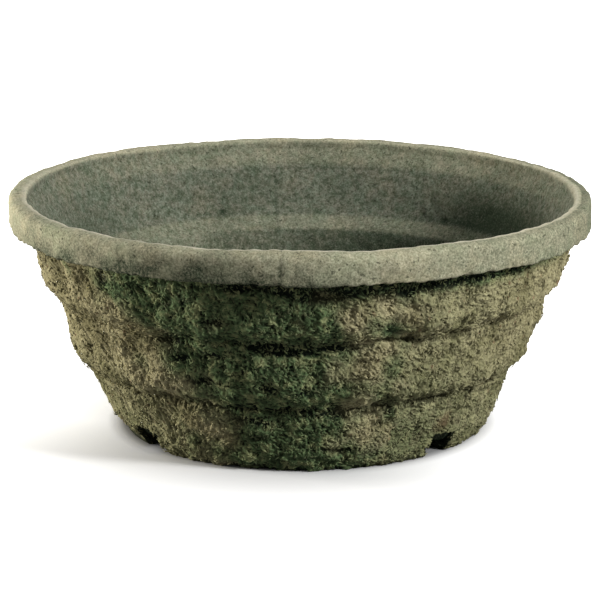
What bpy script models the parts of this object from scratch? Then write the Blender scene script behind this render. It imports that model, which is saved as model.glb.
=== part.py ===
"""Round patio planter, a thick-walled bowl of moulded wood pulp.

The inside and the rolled rim lay against the mould and are smooth. The outside was left free and is rough. It
steps inwards in three tiers, each with a sloping underside, and the inside follows it with a sloping ledge. Four
notches in the foot let water out through drain holes at the floor.

The moulding is divided into rings where its form or its surface changes: a smooth skin inside, a rough body
outside, a rim above and a foot below, whose lower part the notches divide into four blocks. Every piece seats on
its neighbours with one small clearance.

Lengths are in metres. The planter stands on z = 0 with its axis on the Z axis, and its front looks along -Y.
"""

import math

import bmesh
import bpy
from mathutils import Matrix, Vector

# Rolled rim.
RIM_DIAMETER = 0.4064
RIM_WIDTH = 0.0130
RIM_HEIGHT = 0.0205
RIM_CORNER_ROUND = 0.0020

# Upper tier, which flares out to the neck under the rim.
RIM_OVERHANG = 0.0132
NECK_FLARE = 0.0048
NECK_DEPTH = 0.0145
UPPER_TIER_HEIGHT = 0.0465
UPPER_TAPER = 0.0052

# Middle and lower tiers. A taper is how much narrower a tier is at its lower edge than at its top.
MIDDLE_TIER_HEIGHT = 0.0490
MIDDLE_TAPER = 0.0088
LOWER_TIER_HEIGHT = 0.0250
LOWER_TAPER = 0.0078

# Sloping underside of a tier, and the round of the edge above it.
UNDERSIDE_SETBACK = 0.0125
UNDERSIDE_DROP = 0.0100
TIER_EDGE_ROUND = 0.0060

# Lumps of the rough outside: how high they stand, how far apart they are, how many waves add up to them, and the
# closest and widest of those waves as shares of how far apart the lumps are.
LUMP_HEIGHT = 0.0010
LUMP_SPACING = 0.0380
LUMP_WAVES = 16
CLOSEST_WAVE_SHARE = 0.75
WIDEST_WAVE_SHARE = 1.75
GOLDEN_SHARE = (math.sqrt(5) - 1) / 2

# Pulp that fills the grooves in places: how far it stands out, and half its height. Each place is the turn of its
# middle from the front, and half its width.
FILL_DEPTH = 0.0038
FILL_REACH = 0.0060
UPPER_FILL_TURNS = [(-66, 12), (118, 16)]
LOWER_FILL_TURNS = [(-70, 14), (-150, 18)]

# Wall and the smooth skin on its inside. The ledge inside lies higher than the underside that it follows.
NECK_THICKNESS = 0.0085
WALL_THICKNESS = 0.0115
LEDGE_RISE = 0.0050
SKIN_THICKNESS = 0.0040

# Foot, which the planter stands on.
FOOT_TAPER = 0.0050
FOOT_CHAMFER = 0.0074
FOOT_CHAMFER_HEIGHT = 0.0090
FOOT_EDGE_ROUND = 0.0050
FOOT_THICKNESS = 0.0091
FLANGE_THICKNESS = 0.0030
FLANGE_WIDTH = 0.0050

# Floor and the round corner where the wall meets it.
FLOOR_THICKNESS = 0.0067
FLOOR_CORNER_ROUND = 0.0090

# Drain holes through the skin, the wider notches in front of them and the band of the foot over the notches.
DRAIN_WIDTH = 0.0160
DRAIN_HEIGHT = 0.0060
NOTCH_WIDTH = 0.0220
NOTCH_HEADROOM = 0.0010
FOOT_BAND_HEIGHT = 0.0070
NOTCH_PAIR_ANGLE = math.radians(97.0)
NOTCH_TURN = math.radians(-3.0)

# Gap between pieces that seat on each other, and how far a cutter runs past what it cuts.
CLEARANCE = 0.0003
OVERRUN = 0.0100

# Roundness of the turned pieces, and of the lumpy ones with the longest step between their rows.
SEGMENTS = 72
LUMPY_SEGMENTS = 144
ROW_STEP = 0.0085
ROUND_STEPS = 3
CREST_STEPS = 8
MERGE_DISTANCE = 0.00001

# Levels, from the ground up.
FLOOR_UNDERSIDE = FLANGE_THICKNESS + CLEARANCE
FLOOR_LEVEL = FLOOR_UNDERSIDE + FLOOR_THICKNESS
DRAIN_TOP = FLOOR_LEVEL + DRAIN_HEIGHT
NOTCH_TOP = DRAIN_TOP + NOTCH_HEADROOM
FOOT_TOP = NOTCH_TOP + FOOT_BAND_HEIGHT
LOWER_GROOVE = FOOT_TOP + LOWER_TIER_HEIGHT
UPPER_GROOVE = LOWER_GROOVE + MIDDLE_TIER_HEIGHT
RIM_UNDERSIDE = UPPER_GROOVE + UPPER_TIER_HEIGHT
RIM_CREST = RIM_UNDERSIDE + RIM_HEIGHT

# Radii of the outside, from the rim down.
RIM_RADIUS = RIM_DIAMETER / 2
NECK_RADIUS = RIM_RADIUS - RIM_OVERHANG
UPPER_FACE_RADIUS = NECK_RADIUS - NECK_FLARE
UPPER_EDGE_RADIUS = UPPER_FACE_RADIUS - UPPER_TAPER
UPPER_GROOVE_RADIUS = UPPER_EDGE_RADIUS - UNDERSIDE_SETBACK
MIDDLE_EDGE_RADIUS = UPPER_GROOVE_RADIUS - MIDDLE_TAPER
LOWER_GROOVE_RADIUS = MIDDLE_EDGE_RADIUS - UNDERSIDE_SETBACK
FOOT_TOP_RADIUS = LOWER_GROOVE_RADIUS - LOWER_TAPER
FOOT_EDGE_RADIUS = FOOT_TOP_RADIUS - FOOT_TAPER
BASE_RADIUS = FOOT_EDGE_RADIUS - FOOT_CHAMFER

# Colours as linear red, green and blue.
SMOOTH_PULP_COLOUR = (0.225, 0.220, 0.150)
ROUGH_PULP_COLOUR = (0.135, 0.120, 0.060)
PULP_ROUGHNESS = 0.95


def clear_scene():
    """Remove every object, so that the file holds only the planter."""
    for obj in list(bpy.data.objects):
        bpy.data.objects.remove(obj, do_unlink=True)


def new_collection(name):
    """Return a new collection linked to the scene."""
    collection = bpy.data.collections.new(name)
    bpy.context.scene.collection.children.link(collection)
    return collection


def arc(centre, radius, start, end, steps):
    """Return the points of an arc in the profile plane, both ends included."""
    points = []
    for step in range(steps + 1):
        angle = start + (end - start) * step / steps
        points.append(centre + radius * Vector((math.cos(angle), math.sin(angle))))
    return points


def fillet(before, corner, after, radius):
    """Return the arc that rounds the corner between two straight runs."""
    to_before = (before - corner).normalized()
    to_after = (after - corner).normalized()
    half_angle = to_before.angle(to_after) / 2
    reach = radius / math.tan(half_angle)
    bisector = (to_before + to_after).normalized()
    centre = corner + bisector * (radius / math.sin(half_angle))
    first = corner + to_before * reach - centre
    last = corner + to_after * reach - centre
    turn = first.angle_signed(last)
    points = []
    for step in range(ROUND_STEPS + 1):
        points.append(centre + Matrix.Rotation(-turn * step / ROUND_STEPS, 2) @ first)
    return points


def offset_line(line, distance):
    """Return a line of the bowl moved outwards by a distance, with mitred corners.

    The line runs down the wall and in along the floor. Its first point stays at its own level, where the wall
    meets the rim, and its last point at its own radius, where the skin meets the floor.
    """
    normals = []
    for upper, lower in zip(line, line[1:]):
        along = (lower - upper).normalized()
        normals.append(Vector((-along.y, along.x)))
    moved = [line[0] + Vector((distance / normals[0].x, 0))]
    for point, above, below in zip(line[1:-1], normals, normals[1:]):
        moved.append(point + (above + below) * (distance / (1 + above.dot(below))))
    moved.append(line[-1] + Vector((0, distance / normals[-1].y)))
    return moved


def shortened(line):
    """Return a line with its first point moved along it by the clearance, the gap to the piece above."""
    along = (line[1] - line[0]).normalized()
    return [line[0] + along * CLEARANCE] + line[1:]


def at_height(upper, lower, height):
    """Return the point at a height on the straight run between two points."""
    return upper.lerp(lower, (upper.y - height) / (upper.y - lower.y))


def above(line, height):
    """Return the part of a falling line that lies above a height."""
    kept = [point for point in line if point.y > height]
    return kept + [at_height(kept[-1], line[len(kept)], height)]


def below(line, height):
    """Return the part of a falling line that lies below a height."""
    kept = [point for point in line if point.y < height]
    return [at_height(line[-len(kept) - 1], kept[0], height)] + kept


def bowl_line():
    """Return the inside of the bowl from the rim's underside to the floor, and where the pieces part on it."""
    neck = Vector((NECK_RADIUS - NECK_THICKNESS, RIM_UNDERSIDE))
    follow = Vector((-WALL_THICKNESS, LEDGE_RISE))
    upper_ledge_top = Vector((UPPER_EDGE_RADIUS, UPPER_GROOVE + UNDERSIDE_DROP)) + follow
    upper_ledge_foot = Vector((UPPER_GROOVE_RADIUS, UPPER_GROOVE)) + follow
    lower_ledge_top = Vector((MIDDLE_EDGE_RADIUS, LOWER_GROOVE + UNDERSIDE_DROP)) + follow
    lower_ledge_foot = Vector((LOWER_GROOVE_RADIUS, LOWER_GROOVE)) + follow
    corner = Vector((FOOT_EDGE_RADIUS - FOOT_THICKNESS, FLOOR_LEVEL))
    foot_top = at_height(lower_ledge_foot, corner, FOOT_TOP)
    floor_middle = Vector((0, FLOOR_LEVEL))
    line = [neck, upper_ledge_top, upper_ledge_foot, lower_ledge_top, lower_ledge_foot, foot_top]
    line += fillet(foot_top, corner, floor_middle, FLOOR_CORNER_ROUND)
    return line


# The smooth skin's two sides, the inner side of the rough bodies behind it, and the floor inside its edge.
BOWL = bowl_line()
SKIN_BACK = offset_line(BOWL, SKIN_THICKNESS)
BODY_FRONT = offset_line(BOWL, SKIN_THICKNESS + CLEARANCE)
FLOOR_RADIUS = BOWL[-1].x - CLEARANCE
FLANGE_RADIUS = FLOOR_RADIUS - FLANGE_WIDTH

# Points on these lines where pieces part, from the neck down.
JOINTS = ["neck", "upper_ledge_top", "upper_ledge_foot", "lower_ledge_top", "lower_ledge_foot", "foot_top"]


def span(line, first, last=None):
    """Return the part of a line from one joint down to another, or to the line's end."""
    end = None if last is None else JOINTS.index(last) + 1
    return line[JOINTS.index(first):end]


def pulp_material(name, colour):
    """Return a matt pulp material with one colour."""
    material = bpy.data.materials.new(name)
    material.use_nodes = True
    shader = material.node_tree.nodes["Principled BSDF"]
    shader.inputs["Base Color"].default_value = (*colour, 1.0)
    shader.inputs["Roughness"].default_value = PULP_ROUGHNESS
    shader.inputs["Metallic"].default_value = 0.0
    return material


def add_object(name, mesh, collection):
    """Return a new object that holds the mesh."""
    obj = bpy.data.objects.new(name, mesh)
    collection.objects.link(obj)
    return obj


def turned(name, profile, collection, colour, closed=True):
    """Return a piece turned round the Z axis from a profile that runs down its outer side."""
    mesh = bpy.data.meshes.new(name)
    points = [(point.x, 0, point.y) for point in profile]
    edges = [(index, index + 1) for index in range(len(points) - 1)]
    if closed:
        edges.append((len(points) - 1, 0))
    mesh.from_pydata(points, edges, [])
    mesh.materials.append(pulp_material(name + "_pulp", colour))
    obj = add_object(name, mesh, collection)
    screw = obj.modifiers.new("turned", "SCREW")
    screw.axis = "Z"
    screw.angle = math.tau
    screw.steps = SEGMENTS
    screw.render_steps = SEGMENTS
    screw.use_smooth_shade = True
    screw.use_merge_vertices = True
    screw.merge_threshold = MERGE_DISTANCE
    return obj


def add_cutter(name, mesh, collection):
    """Return a new object that only cuts others."""
    obj = add_object(name, mesh, collection)
    obj.display_type = "WIRE"
    obj.hide_render = True
    return obj


def cutter_box(name, inner_radius, outer_radius, width, bottom, top, turn, collection):
    """Return a box that reaches outwards from the axis, turned from the front."""
    mesh = bpy.data.meshes.new(name)
    shape = bmesh.new()
    bmesh.ops.create_cube(shape, size=1)
    size = Vector((width, outer_radius - inner_radius, top - bottom))
    centre = Vector((0, -(outer_radius + inner_radius) / 2, (top + bottom) / 2))
    place = Matrix.Rotation(turn, 4, "Z") @ Matrix.Translation(centre) @ Matrix.Diagonal((*size, 1))
    bmesh.ops.transform(shape, matrix=place, verts=shape.verts)
    shape.to_mesh(mesh)
    shape.free()
    return add_cutter(name, mesh, collection)


def outward(turn):
    """Return the level direction away from the axis, turned from the front."""
    return Vector((math.sin(turn), -math.cos(turn)))


def cutter_wedge(name, first_turn, last_turn, bottom, top, collection):
    """Return a wedge that holds what lies between two notches."""
    half_angle = (last_turn - first_turn) / 2
    apex = outward(first_turn + half_angle) * (NOTCH_WIDTH / 2 / math.sin(half_angle))
    reach = (RIM_RADIUS + OVERRUN) / math.cos(half_angle)
    corners = [apex, apex + outward(first_turn) * reach, apex + outward(last_turn) * reach]
    points = [(corner.x, corner.y, level) for level in (bottom, top) for corner in corners]
    faces = [(2, 1, 0), (3, 4, 5), (0, 1, 4, 3), (1, 2, 5, 4), (2, 0, 3, 5)]
    mesh = bpy.data.meshes.new(name)
    mesh.from_pydata(points, [], faces)
    return add_cutter(name, mesh, collection)


def cut(obj, cutter, operation="DIFFERENCE"):
    """Cut a cutter out of a piece, or keep only what lies inside it."""
    boolean = obj.modifiers.new(cutter.name, "BOOLEAN")
    boolean.operation = operation
    boolean.solver = "EXACT"
    boolean.object = cutter


def make_rim(collection):
    """Rolled rim: a half-round crest, an upright outer face, a flat underside and a flared inside."""
    crest_radius = RIM_WIDTH / 2
    crest_centre = Vector((RIM_RADIUS - crest_radius, RIM_CREST - crest_radius))
    profile = arc(crest_centre, crest_radius, math.pi, 0, CREST_STEPS)
    corner = Vector((RIM_RADIUS, RIM_UNDERSIDE))
    inside_neck = BOWL[0]
    profile += fillet(profile[-1], corner, inside_neck, RIM_CORNER_ROUND)
    profile.append(inside_neck)
    return turned("rim", profile, collection, SMOOTH_PULP_COLOUR)


def make_skin(collection):
    """Smooth skin inside the tiers and the foot: upright rings, sloping ledges and the corner at the floor."""
    joints = {
        "upper_inner_wall": ("neck", "upper_ledge_top"),
        "upper_ledge": ("upper_ledge_top", "upper_ledge_foot"),
        "middle_inner_wall": ("upper_ledge_foot", "lower_ledge_top"),
        "lower_ledge": ("lower_ledge_top", "lower_ledge_foot"),
        "lower_inner_wall": ("lower_ledge_foot", "foot_top"),
        "floor_corner": ("foot_top",),
    }
    rings = {}
    for name, ends in joints.items():
        back = shortened(span(SKIN_BACK, *ends))
        front = shortened(span(BOWL, *ends))
        rings[name] = turned(name, back + front[::-1], collection, SMOOTH_PULP_COLOUR)
    return rings


def tier_outside(top, edge, groove):
    """Return the outer side of a tier: its face, its rounded lower edge and its sloping underside."""
    return [top] + fillet(top, edge, groove, TIER_EDGE_ROUND) + [groove]


def lump_waves():
    """Return the waves that add up to the lumps, each as its waves round the planter, its turn per height and its
    phase. Their leans are spread evenly over half a turn, and their spacings by the golden share."""
    waves = []
    for number in range(LUMP_WAVES):
        lean = math.pi * (number + 0.5) / LUMP_WAVES
        spread = number * GOLDEN_SHARE % 1
        spacing = LUMP_SPACING * (CLOSEST_WAVE_SHARE + (WIDEST_WAVE_SHARE - CLOSEST_WAVE_SHARE) * spread)
        around = round(math.tau * NECK_RADIUS / spacing * math.cos(lean))
        rise = math.tau / spacing * math.sin(lean)
        waves.append((around, rise, math.tau * (number ** 2 * GOLDEN_SHARE % 1)))
    return waves


def fill(turn, height):
    """Return how far the fill of the grooves stands out: a bell curve round each fill's middle."""
    total = 0
    for level, places in ((UPPER_GROOVE, UPPER_FILL_TURNS), (LOWER_GROOVE, LOWER_FILL_TURNS)):
        for middle, half_width in places:
            away = (math.degrees(turn) - middle + 180) % 360 - 180
            total += math.exp(-((away / half_width) ** 2 + ((height - level) / FILL_REACH) ** 2) / 2)
    return FILL_DEPTH * total


def relief(turn, height, waves):
    """Return how far the outside stands out at a turn and height. The lumps fade out towards the foot."""
    total = sum(math.cos(around * turn + rise * height + phase) for around, rise, phase in waves)
    fade = min(1, max(0, (height - FOOT_TOP) / (LOWER_TIER_HEIGHT / 2)))
    return LUMP_HEIGHT * math.sqrt(2 / LUMP_WAVES) * total * fade + fill(turn, height)


def stepped(line):
    """Return a line with more points, so that no step is longer than the row step."""
    points = [line[0]]
    for start, end in zip(line, line[1:]):
        steps = math.ceil((end - start).length / ROW_STEP)
        points += [start.lerp(end, step / steps) for step in range(1, steps + 1)]
    return points


def lumpy(name, outside, inside, collection, colour):
    """Return a ring with lumps on its outer side. Where two rings meet, their lumps are alike."""
    rows = stepped(outside)
    profile = shortened(rows) + shortened(inside)[::-1]
    waves = lump_waves()
    points = []
    faces = []
    for segment in range(LUMPY_SEGMENTS):
        turn = math.tau * segment / LUMPY_SEGMENTS
        heights = [relief(turn, row.y, waves) for row in rows] + [0] * len(inside)
        for point, height in zip(profile, heights):
            place = outward(turn) * (point.x + height)
            points.append((place.x, place.y, point.y))
        here = segment * len(profile)
        beside = (segment + 1) % LUMPY_SEGMENTS * len(profile)
        for index in range(len(profile) - 1):
            faces.append((here + index, here + index + 1, beside + index + 1))
            faces.append((here + index, beside + index + 1, beside + index))
        # The top is folded from outer edge to inner edge, as the underside of the ring above it is.
        last = len(profile) - 1
        faces.append((here + last, here, beside + last))
        faces.append((here, beside, beside + last))
    mesh = bpy.data.meshes.new(name)
    mesh.from_pydata(points, [], faces)
    mesh.materials.append(pulp_material(name + "_pulp", colour))
    return add_object(name, mesh, collection)


def make_tiers(collection):
    """Rough outer body of each tier, which seats on the tier or foot below."""
    neck = Vector((NECK_RADIUS, RIM_UNDERSIDE))
    upper_face = Vector((UPPER_FACE_RADIUS, RIM_UNDERSIDE - NECK_DEPTH))
    upper_edge = Vector((UPPER_EDGE_RADIUS, UPPER_GROOVE + UNDERSIDE_DROP))
    upper_groove = Vector((UPPER_GROOVE_RADIUS, UPPER_GROOVE))
    middle_edge = Vector((MIDDLE_EDGE_RADIUS, LOWER_GROOVE + UNDERSIDE_DROP))
    lower_groove = Vector((LOWER_GROOVE_RADIUS, LOWER_GROOVE))
    foot_top = Vector((FOOT_TOP_RADIUS, FOOT_TOP))
    outsides = {
        "upper_tier": [neck] + tier_outside(upper_face, upper_edge, upper_groove),
        "middle_tier": tier_outside(upper_groove, middle_edge, lower_groove),
        "lower_tier": [lower_groove, foot_top],
    }
    joints = {
        "upper_tier": ("neck", "upper_ledge_foot"),
        "middle_tier": ("upper_ledge_foot", "lower_ledge_foot"),
        "lower_tier": ("lower_ledge_foot", "foot_top"),
    }
    for name, outside in outsides.items():
        lumpy(name, outside, span(BODY_FRONT, *joints[name]), collection, ROUGH_PULP_COLOUR)


def make_floor(collection):
    """Flat round floor, which lies on the foot's flange."""
    profile = [
        Vector((0, FLOOR_LEVEL)),
        Vector((FLOOR_RADIUS, FLOOR_LEVEL)),
        Vector((FLOOR_RADIUS, FLOOR_UNDERSIDE)),
        Vector((0, FLOOR_UNDERSIDE)),
    ]
    return turned("floor", profile, collection, SMOOTH_PULP_COLOUR, closed=False)


def foot_outside():
    """Return the outer side of the foot, chamfered at the ground."""
    top = Vector((FOOT_TOP_RADIUS, FOOT_TOP))
    edge = Vector((FOOT_EDGE_RADIUS, FOOT_CHAMFER_HEIGHT))
    base = Vector((BASE_RADIUS, 0))
    return [top] + fillet(top, edge, base, FOOT_EDGE_ROUND) + [base]


def make_foot_band(collection):
    """Rough band of the foot that bridges the notches and carries the tiers."""
    outside = shortened(above(foot_outside(), NOTCH_TOP + CLEARANCE))
    inside = shortened(above(span(BODY_FRONT, "foot_top"), NOTCH_TOP + CLEARANCE))
    turned("foot_band", outside + inside[::-1], collection, ROUGH_PULP_COLOUR)


def notch_turns():
    """Return the turn of each notch from the front, in order: one pair in front, and the same pair behind."""
    front = [NOTCH_TURN - NOTCH_PAIR_ANGLE / 2, NOTCH_TURN + NOTCH_PAIR_ANGLE / 2]
    return front + [turn + math.pi for turn in front]


def make_foot_blocks(collection, cutters):
    """Rough blocks between the notches, which stand on the ground, with a flange under the floor's edge."""
    profile = below(foot_outside(), NOTCH_TOP)
    profile.append(Vector((FLANGE_RADIUS, 0)))
    profile.append(Vector((FLANGE_RADIUS, FLANGE_THICKNESS)))
    profile.append(Vector((BOWL[-1].x, FLANGE_THICKNESS)))
    profile += below(span(BODY_FRONT, "foot_top"), NOTCH_TOP)[::-1]
    turns = notch_turns()
    next_turns = turns[1:] + [turns[0] + math.tau]
    names = ["foot_front", "foot_right", "foot_back", "foot_left"]
    for name, turn, next_turn in zip(names, turns, next_turns):
        block = turned(name, profile, collection, ROUGH_PULP_COLOUR)
        wedge = cutter_wedge(name + "_wedge", turn, next_turn, -OVERRUN, NOTCH_TOP + OVERRUN, cutters)
        cut(block, wedge, "INTERSECT")


def cut_drains(corner, cutters):
    """Cut a drain hole through the corner behind each notch."""
    for number, turn in enumerate(notch_turns(), start=1):
        drain = cutter_box(f"drain_cutter_{number}", FLOOR_RADIUS - OVERRUN, RIM_RADIUS + OVERRUN, DRAIN_WIDTH,
                           FLOOR_LEVEL, DRAIN_TOP, turn, cutters)
        cut(corner, drain)


def main():
    """Build the planter."""
    clear_scene()
    planter = new_collection("round_patio_planter")
    cutters = new_collection("cutters")
    make_rim(planter)
    skin = make_skin(planter)
    make_tiers(planter)
    make_floor(planter)
    make_foot_band(planter)
    make_foot_blocks(planter, cutters)
    cut_drains(skin["floor_corner"], cutters)


main()
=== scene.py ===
"""Looks of the round patio planter: moulded wood pulp, smooth inside and on the rim, shaggy outside.

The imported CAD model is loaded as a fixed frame. Each CAD node is replaced by a finer surface in the same place,
worked out with numpy, with a procedural material. Tables hold millimetres and degrees, and points are in metres.
The planter stands on z = 0 with its axis on the Z axis, and its front looks along -Y. An azimuth is a turn from
the front towards +X, and a level is a height in millimetres.
"""

import math
from functools import cache, partial

import bpy
import numpy as np
from bpy.props import FloatProperty, FloatVectorProperty, IntProperty, PointerProperty
from bpy.types import Operator, Panel, PropertyGroup
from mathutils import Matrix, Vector


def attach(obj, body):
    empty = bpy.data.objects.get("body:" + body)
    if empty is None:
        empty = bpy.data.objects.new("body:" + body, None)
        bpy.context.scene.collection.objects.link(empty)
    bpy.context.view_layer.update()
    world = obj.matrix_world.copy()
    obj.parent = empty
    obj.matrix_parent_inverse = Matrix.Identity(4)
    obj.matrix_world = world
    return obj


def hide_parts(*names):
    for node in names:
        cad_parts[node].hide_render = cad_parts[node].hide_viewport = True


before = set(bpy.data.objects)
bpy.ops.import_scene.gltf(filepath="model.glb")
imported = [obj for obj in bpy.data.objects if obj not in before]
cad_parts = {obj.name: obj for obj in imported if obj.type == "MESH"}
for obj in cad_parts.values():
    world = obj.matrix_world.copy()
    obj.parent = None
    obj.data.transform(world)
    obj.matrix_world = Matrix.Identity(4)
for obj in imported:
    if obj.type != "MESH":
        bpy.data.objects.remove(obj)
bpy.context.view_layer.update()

bl_info = {
    "name": "Round patio planter",
    "version": (1, 0, 0),
    "blender": (4, 5, 0),
    "location": "3D View > Sidebar > Planter",
    "description": "Builds a round planter of moulded wood pulp around its CAD frame",
    "category": "Add Mesh",
}

MM = 0.001
BODY = "root"
SMOOTH_SLOT = "smooth_pulp"
ROUGH_SLOT = "rough_pulp"

# Outlines as radius and height, each with the length of the round at its corner. They follow the CAD solids. A rough
# tier runs a little way into its neighbour, so that no gap shows in a groove.
RIM_LINE = [(190.2, 158.6, 0), (190.2, 165, 3.6), (203.2, 165, 6.2), (203.2, 144.5, 2.4), (190, 144.5, 0)]
BOWL_LINE = [(190.2, 158.6, 0), (181.5, 144.5, 8), (168.5, 113, 8.5), (156, 103, 7.2), (147.2, 64, 8.5),
             (134.7, 54, 7.2), (125.8, 10, 9), (0, 10, 0)]
UPPER_LINE = [(187.5, 147, 0), (190, 144, 1.5), (185.2, 130, 6), (180, 108, 6), (164.5, 96, 0)]
MIDDLE_LINE = [(163, 101.5, 0), (164.6, 97.5, 1.2), (167.2, 93.5, 1.8), (158.7, 59, 6), (143.2, 46.9, 0)]
LOWER_LINE = [(141.8, 52.5, 0), (143.4, 48.6, 1.2), (146, 44.5, 1.8), (138.4, 24, 6), (133.4, 9, 5), (126, 0, 1)]
BLOCK_BACK = [(130.2, 17, 0), (129.5, 13.5, 1), (126.5, 8.5, 1), (122, 5.7, 1), (117.2, 5, 0.5), (117.2, 3, 0.5),
              (111.9, 3, 0)]

# Where the CAD pieces part.
RIM_UNDERSIDE = 144.5
WALL_LEVELS = [RIM_UNDERSIDE, 113, 103, 64, 54, 24]
WALL_NODES = ["upper_inner_wall", "upper_ledge", "middle_inner_wall", "lower_ledge", "lower_inner_wall"]
FOOT_TOP = 24
NOTCH_TOP = 17
FLANGE_RADIUS = 111.9
FLOOR_RADIUS = 117
FLOOR_UNDERSIDE = 3.3
SKIN_THICKNESS = 4

# Notches and drain holes, and the blocks between them with the seeds of their draws.
NOTCH_TURNS = [-51.5, 45.5, 128.5, 225.5]
NOTCH_HALF_WIDTH = 11
DRAIN_HALF_WIDTH = 8
DRAIN_TOP = 16
BLOCKS = [("foot_front", 49), ("foot_right", 47), ("foot_back", 45), ("foot_left", 45)]

# Points round each surface, and how far apart its rows are, in metres.
COAT_COLUMNS = 1520
COAT_STEP = 0.62 * MM
SKIN_COLUMNS = 720
SKIN_STEP = 1.15 * MM
RIM_STEP = 1.0 * MM
BLOCK_COLUMNS_SHARE = 0.8
BLOCK_LAYERS = 9
CORNER_LAYERS = 5
# Radii at which the cells of the felt and of the rim have the width that their noise is worked out for, in metres, and
# the radii in millimetres inside which the felt's noise fades and outside which the rim is on its outer side.
FELT_RADIUS = 0.16
RIM_RADIUS = 0.2
FADE_RADIUS = 115
RIM_OUTSIDE = 196

# Soft patches are rows of azimuth, height, half width in degrees, half height and strength. Here the strength is the
# depth of a dent in the outside.
DENTS = [
    (-12.3, 138.2, 2.4, 2.6, 4.5), (-31.3, 94.5, 2.2, 2.2, 3), (-24.9, 99.8, 1.6, 1.6, 2.5),
    (-18.3, 112.8, 2, 2.2, 2.2), (-20.9, 86.8, 2.2, 2, 2), (-8.7, 94.5, 2.6, 2.6, 3), (-3.6, 91, 4, 2.2, 4),
    (-28.2, 83, 1.6, 2.6, 2.2), (-23.5, 66.8, 3, 2.2, 2.4), (-44.2, 134, 0.9, 5, 2.5), (-42.5, 112.5, 0.9, 3.5, 2.2),
    (-7.5, 64, 2.4, 2.4, 1.8), (-13.3, 38, 4, 2.4, 2.6), (-37.6, 25.5, 1, 1.6, 2.5), (-48.8, 55.5, 2.4, 1, 1.8),
    (-63, 71.2, 1, 2.6, 2.2), (53.3, 134.8, 1.2, 1.8, 3.5), (3.9, 131.2, 3.2, 3, 2.5), (24.8, 135.5, 2.2, 2.2, 2),
    (35.5, 95.2, 2.6, 1.6, 2.2), (35.9, 46.8, 3, 1.6, 2), (59.7, 42.2, 2.4, 1.4, 2), (33, 27.5, 0.7, 3.2, 1.8),
    (10.5, 16.5, 2.6, 2, 1.8), (13.5, 43.2, 9, 2.2, 2), (0.5, 63, 1.6, 2.2, 1.8), (8.7, 93.2, 5, 1.8, 1.8),
    (-86, 134, 14, 10, 5), (-88, 9, 12, 7, 3), (160, 99, 3, 3, 3.5), (-118, 103, 2.5, 3, 3), (95, 72, 2, 3, 2.5),
    (-160, 74, 2.2, 3, 2.5), (-69, 1, 9, 7, 5.5),
]
# Darker patches of the smooth inside, whose strength is a share of damp. The first three are painted shadow on the
# inner right wall and along the top of its ledge.
INNER_DARK_PATCHES = [(125, 124, 11, 9, 0.75), (112, 122, 22, 15, 0.45), (135, 115, 12, 1.8, 0.45), (-137, 151, 8, 5, 0.2),
          (-126, 118, 13, 13, 0.18), (164, 134, 11, 10, 0.16)]
# Dimples of the smooth inside: azimuth, height, half width and depth.
DIMPLES = [
    (-159.2, 115.5, 1.7, 1.5), (-151.8, 125, 0.9, 0.8), (-124.3, 152, 2.8, 0.7), (-145, 149.5, 2, 0.5),
    (147.6, 117.2, 1, 0.9), (140.4, 114.2, 1.5, 1.3), (127, 126, 2.2, 0.7), (170, 131, 1.6, 0.5), (60, 120, 2, 0.8),
    (-60, 128, 2.2, 0.8), (20, 122, 1.8, 0.7), (105, 84, 2.2, 0.8), (-105, 80, 2, 0.7), (176, 78, 2, 0.7),
    (0, 84, 2.2, 0.7), (-30, 92, 1.6, 0.6), (-130, 40, 2, 0.7), (40, 36, 2.2, 0.8),
]
# How far the rim is bent up at azimuths.
RIM_RISES = [
    (-180, 1.4), (-165, 1.0), (-145, -0.2), (-134, 1.2), (-122, 2.0), (-103, 2.4), (-85, 1.0), (-60, 0.0),
    (-42, -0.3), (-30, -1.3), (-18, -1.3), (-9, 0.0), (4, -1.6), (28, -1.4), (44, -2.3), (58, -2.4), (72, -1.5),
    (90, -0.3), (110, 0.5), (130, 0.0), (150, 0.6), (165, 1.2), (180, 1.4),
]
RIM_SEAM_TURN = -3.8
INNER_SEAM_TURN = 186.5
INNER_SEAM_FOOT = 100

# Darker green zone in front, partly damp and partly painted shade: its middle and half width at heights, and how
# soft its edge is.
DAMP_SHADE_LEVELS = [40, 70, 100, 130]
DAMP_SHADE_MIDDLES = [-5, -12, -11, -20]
DAMP_SHADE_HALVES = [12, 17, 20, 25]
DAMP_SHADE_EDGE = 9
# Azimuths between which the band of painted shade under the rim grows at its left end, and at its right end, and
# its height.
BAND_LEFT = (-52, -32)
BAND_RIGHT = (80, 60)
BAND_LEVEL = 139
# Foot of the painted shadow that the rim casts on the upper tier, as heights at azimuths.
RIM_SHADOW_TURNS = [-14, -4, 8, 22, 40, 58, 70]
RIM_SHADOW_FEET = [145, 133, 129.5, 130.5, 133.5, 137.5, 145]
# Left of the front most flakes lean the same way: the middle and half width of that zone, and how much longer the
# flakes are there.
LEAN_TURN = -64
LEAN_REACH = 22
LEAN_STRETCH = 0.3
# How many times the flakes cover the outside, and the mean flake's share of the largest. Then the ranges of draws for a
# flake: shares of the largest length, width, lift and lift again for its thickness, and its tilt and bend.
FLAKE_COVER = 1.9
FLAKE_SHARE = 0.55
FLAKE_RANGES = [(0.4, 1), (0.45, 1), (-0.8, 0.8), (0.3, 0.7), (-0.16, 0.16), (-35, 35)]
# The same for a sliver: its turn, lift, share of the longest, half width, thickness as a share of that, bend, curve,
# tilt and tone, and the tone under which it is a dark one.
SLIVER_RANGES = [(0, math.tau), (-0.05, 0.35), (0.35, 1), (0.32, 0.85), (0.3, 0.6), (-8, 60), (-35, 35),
                 (-0.22, 0.22), (0, 1)]
SLIVER_DARK = 0.14
# Middle of a reddish patch over the notch at the front right, in metres.
RED_PATCH = (0.0943, -0.1022, 0.0275)

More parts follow.
